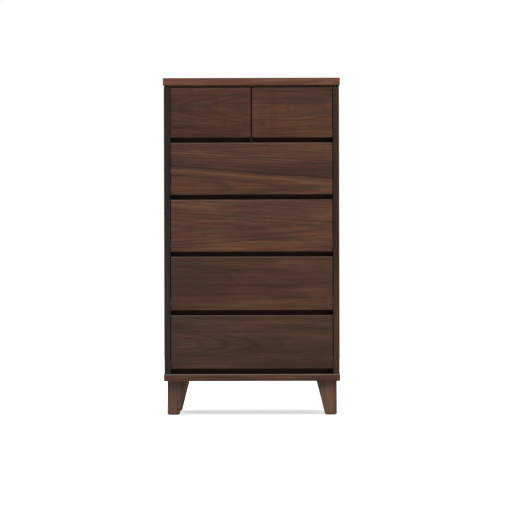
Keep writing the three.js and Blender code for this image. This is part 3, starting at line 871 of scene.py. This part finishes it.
ROLLER_RADIUS = 0.008
rollers, given = node_tree(
    "slide rollers",
    {
        "Wheel radius": ROLLER_RADIUS,
        "Wheel width": 0.0052,
        "Hub radius": 0.0048,
        "Hub width": 0.0058,
        "Pin radius": 0.0022,
        "Pin width": 0.0075,
    },
)
roller = wire(rollers, "GeometryNodeJoinGeometry")
for part, corners in (("Wheel", 32), ("Hub", 24), ("Pin", 16)):
    size = {"Vertices": corners, "Radius": given[f"{part} radius"], "Depth": given[f"{part} width"]}
    upright = wire(rollers, "GeometryNodeMeshCylinder", size)
    across = wire(rollers, "GeometryNodeTransform", {"Geometry": upright, "Rotation": (0, math.pi / 2, 0)})
    rollers.links.new(across.outputs[0], roller.inputs[0])
set_out(rollers, given, roller, (0, 0, 0))

nylon, tree, shader = new_material("white nylon")
haze = noise(tree, object_place(tree), 14.0, 300, 3)
milky = mixed(tree, haze, (0.62, 0.61, 0.57), (0.74, 0.73, 0.7))
coat(tree, shader, milky, ramp(tree, haze, (0.3, 0.32), (0.7, 0.46)))
ROLLER_INSET = 0.012  # from the end of its channel or angle
ROLLER_GAP = 0.0003
ROLLER_SHIFT = 0.0012  # towards the drawer from the middle of the channel
cabinet_rollers = []
for drawer in WIDE_DRAWERS:
    drawer_rollers = []
    for hand, side in HANDS:
        track_low, track_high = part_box(f"{drawer}_{hand}_track")
        runner_low, runner_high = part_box(f"{drawer}_{hand}_runner")
        between = (track_low.x + track_high.x) / 2 - side * ROLLER_SHIFT
        under_flange = runner_high.z - SLIDE_STEEL - ROLLER_GAP - ROLLER_RADIUS
        on_floor = track_low.z + SLIDE_STEEL + ROLLER_GAP + ROLLER_RADIUS
        cabinet_rollers.append((between, track_low.y + ROLLER_INSET, under_flange))
        drawer_rollers.append((between, runner_high.y - ROLLER_INSET, on_floor))
    grow(f"{drawer}_rollers", rollers, drawer_rollers, nylon, drawer, "slide_steel")
grow("cabinet_rollers", rollers, cabinet_rollers, nylon, "cabinet", "slide_steel")

# ------------------------------------------------------------------ screws and leg bolts
# Zinc-plated pan-head screws with a cross recess. They hold the fronts to their boxes, the slides
# and guides to the cabinet, and the side panels and legs to the base board.
SCREW_CROWN = 0.62  # a head's top radius, as a share of its radius
RECESS_REACH = 1.1  # the length of a recess's arms, as a share of that radius
RECESS_LIFT = 0.9  # where their middle lies, as a share of the head's height
screws, given = node_tree(
    "screws",
    {"Facing": (0.0, 0.0, 1.0), "Head radius": 0.0038, "Head height": 0.0014, "Recess width": 0.0009},
)
head = wire(
    screws,
    "GeometryNodeMeshCone",
    {
        "Vertices": 20,
        "Radius Bottom": given["Head radius"],
        "Radius Top": maths(screws, "MULTIPLY", given["Head radius"], SCREW_CROWN),
        "Depth": given["Head height"],
    },
)
cross = wire(screws, "GeometryNodeJoinGeometry")
for long_way in (0, 1):
    widths = [given["Recess width"], given["Recess width"]]
    widths[long_way] = maths(screws, "MULTIPLY", given["Head radius"], RECESS_REACH)
    size = wire(screws, "ShaderNodeCombineXYZ", {0: widths[0], 1: widths[1], 2: given["Head height"]})
    bar = wire(screws, "GeometryNodeMeshCube", {"Size": size})
    lift = maths(screws, "MULTIPLY", given["Head height"], RECESS_LIFT)
    lifted = wire(
        screws,
        "GeometryNodeTransform",
        {"Geometry": bar, "Translation": wire(screws, "ShaderNodeCombineXYZ", {2: lift})},
    )
    screws.links.new(lifted.outputs[0], cross.inputs[0])
driven = wire(screws, "GeometryNodeMeshBoolean", operation="DIFFERENCE")
screws.links.new(head.outputs[0], driven.inputs[0])
screws.links.new(cross.outputs[0], driven.inputs[1])
spin = wire(screws, "FunctionNodeRandomValue", data_type="FLOAT")
spin.inputs[3].default_value = math.pi
spin.inputs["Seed"].default_value = 7
turned = wire(screws, "ShaderNodeCombineXYZ", {2: spin.outputs[1]})
aimed = {"Rotation": turned, "Vector": given["Facing"]}
turn = wire(screws, "FunctionNodeAlignRotationToVector", aimed, axis="Z")
set_out(screws, given, driven, turn)

zinc, tree, shader = new_material("zinc plating")
spangle = noise(tree, object_place(tree), 16.0, 500, 3)
silvery = mixed(tree, spangle, (0.42, 0.41, 0.38), (0.62, 0.61, 0.58))
coat(tree, shader, silvery, ramp(tree, spangle, (0.3, 0.25), (0.7, 0.42)))
shader.inputs["Metallic"].default_value = 1.0

# Fronts: four screws through each box's front wall, from inside.
FRONT_SCREW_INSET = 0.055  # from the box's sides
FRONT_SCREW_RISE = 0.045  # from its lower edge
FRONT_SCREW_DROP = 0.065  # from the front's upper edge
for drawer in FRONTS:
    low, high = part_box(f"{drawer}_box")
    front_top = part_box(f"{drawer}_front")[1].z
    places = [
        (x, low.y + BOX_WALL, z)
        for x in (low.x + FRONT_SCREW_INSET, high.x - FRONT_SCREW_INSET)
        for z in (low.z + FRONT_SCREW_RISE, front_top - FRONT_SCREW_DROP)
    ]
    grow(f"{drawer}_front_screws", screws, places, zinc, drawer, "slide_steel", Facing=(0.0, 1.0, 0.0))

# Slides: three screws through each channel's web, and three up through each angle's foot.
SLIDE_SCREW_PLACES = (0.1, 0.5, 0.9)
CHANNEL_SCREW_DROP = 0.0045  # under the channel's roof
ANGLE_SCREW_INSET = 0.0055  # from the foot's inner edge


def spaced(low, high, shares):
    """Places along y at these shares of a piece's length."""
    return [low.y + (high.y - low.y) * share for share in shares]


for hand, side in HANDS:
    places = []
    for drawer in WIDE_DRAWERS:
        low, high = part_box(f"{drawer}_{hand}_track")
        web = out_and_in(low, high, side)[0] - side * SLIDE_STEEL
        height = high.z - SLIDE_STEEL - CHANNEL_SCREW_DROP
        places += [(web, y, height) for y in spaced(low, high, SLIDE_SCREW_PLACES)]
    grow(
        f"{hand}_channel_screws",
        screws,
        places,
        zinc,
        "cabinet",
        "slide_steel",
        **{"Facing": (-float(side), 0.0, 0.0), "Head height": 0.0009},
    )
for drawer in WIDE_DRAWERS:
    places = []
    for hand, side in HANDS:
        low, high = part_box(f"{drawer}_{hand}_runner")
        foot = out_and_in(low, high, side)[1] + side * ANGLE_SCREW_INSET
        places += [(foot, y, low.z) for y in spaced(low, high, SLIDE_SCREW_PLACES)]
    grow(f"{drawer}_angle_screws", screws, places, zinc, drawer, "slide_steel", Facing=(0.0, 0.0, -1.0))

# Guides and stops of the small drawers, then the side panels, which are screwed from under the base.
GUIDE_SCREW_PLACES = (0.12, 0.5, 0.88)
STOP_SCREW_INSET = 0.012
PANEL_SCREW_SPREAD = 0.09
for hand, side in HANDS:
    low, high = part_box(f"{hand}_drawer_guide")
    face = out_and_in(low, high, side)[1]
    places = [(face, y, (low.z + high.z) / 2) for y in spaced(low, high, GUIDE_SCREW_PLACES)]
    inwards = (-float(side), 0.0, 0.0)
    grow(f"{hand}_guide_screws", screws, places, zinc, "cabinet", "slide_steel", Facing=inwards)
places = []
for hand, _ in HANDS:
    low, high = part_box(f"{hand}_drawer_stop")
    for x in (low.x + STOP_SCREW_INSET, high.x - STOP_SCREW_INSET):
        places.append((x, (low.y + high.y) / 2, low.z))
base_low, base_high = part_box("base_board")
for hand, _ in HANDS:
    low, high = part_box(f"{hand}_side_panel")
    places += [((low.x + high.x) / 2, spread * PANEL_SCREW_SPREAD, base_low.z) for spread in (-1, 0, 1)]
grow("base_and_stop_screws", screws, places, zinc, "cabinet", "slide_steel", Facing=(0.0, 0.0, -1.0))

# Legs: two bolts each, with their heads on the base board inside the cabinet.
BOLT_INSET = 0.02  # from the leg's sides
BOLT_SETBACK = 0.008  # from its inner face
places = []
for name, hand, side, rear in legs:
    low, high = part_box(f"{name}_leg")
    y = (high.y if rear < 0 else low.y) + rear * BOLT_SETBACK
    places += [(x, y, base_high.z) for x in (low.x + BOLT_INSET, high.x - BOLT_INSET)]
grow(
    "leg_bolts",
    screws,
    places,
    zinc,
    "cabinet",
    "slide_steel",
    **{"Head radius": 0.0055, "Head height": 0.003, "Recess width": 0.0013},
)

# ------------------------------------------------------------------ back panel pins
# Round-headed steel pins, zinc-plated like the screws. They are driven through the hardboard into
# the rear rail and the back edge of the shelf, evenly spaced across it.
PIN_CROWN = 0.5  # a head's top radius, as a share of its radius
PIN_COUNT = 7
pins, given = node_tree("pins", {"Facing": (0.0, 1.0, 0.0), "Head radius": 0.0022, "Head height": 0.0007})
head = wire(
    pins,
    "GeometryNodeMeshCone",
    {
        "Vertices": 16,
        "Radius Bottom": given["Head radius"],
        "Radius Top": maths(pins, "MULTIPLY", given["Head radius"], PIN_CROWN),
        "Depth": given["Head height"],
    },
)
turn = wire(pins, "FunctionNodeAlignRotationToVector", {"Vector": given["Facing"]}, axis="Z")
set_out(pins, given, head, turn)
panel_low, panel_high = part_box("back_panel")
places = []
for holder in ("rear_top_rail", "dust_shelf"):
    low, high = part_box(holder)
    for i in range(PIN_COUNT):
        x = panel_low.x + (panel_high.x - panel_low.x) * (i + 0.5) / PIN_COUNT
        places.append((x, panel_high.y, (low.z + high.z) / 2))
grow("back_panel_pins", pins, places, zinc, "cabinet", "slide_steel")
